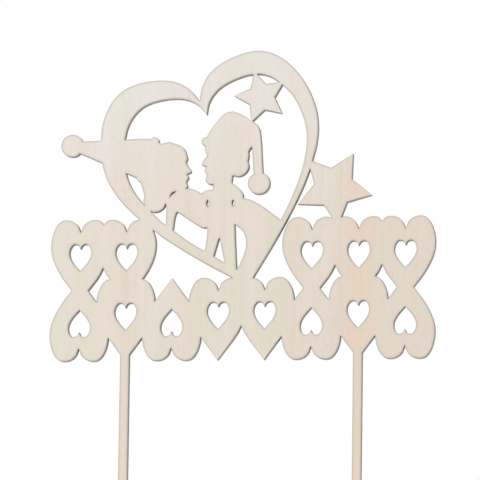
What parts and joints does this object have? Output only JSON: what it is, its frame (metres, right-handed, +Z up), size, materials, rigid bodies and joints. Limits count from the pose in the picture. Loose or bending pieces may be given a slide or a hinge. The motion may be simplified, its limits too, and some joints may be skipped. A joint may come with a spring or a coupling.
{
  "type": "wedding cake topper",
  "caption": "Flat laser-cut plywood cake topper: a couple in tasselled hats inside a tilted heart ring with stars, above a band of hearts, on pointed stakes.",
  "frame": {"origin": "at the cake's surface, midway between the stakes, in the middle of the sheet's thickness", "axes": "+Z up, out of the cake; -Y out of the front face; +X to the right as seen from the front"},
  "size_m": [0.1502, 0.003, 0.1957],
  "materials": {
    "poplar_veneer": "bare sanded veneer",
    "poplar_core": "bare cut edge, browned by the laser",
    "resin_glue": "cured resin film"
  },
  "bodies": {
    "root": {"front_veneer": "poplar_veneer", "front_glue_line": "resin_glue", "core_veneer": "poplar_core", "back_glue_line": "resin_glue", "back_veneer": "poplar_veneer"}
  },
  "joints": []
}
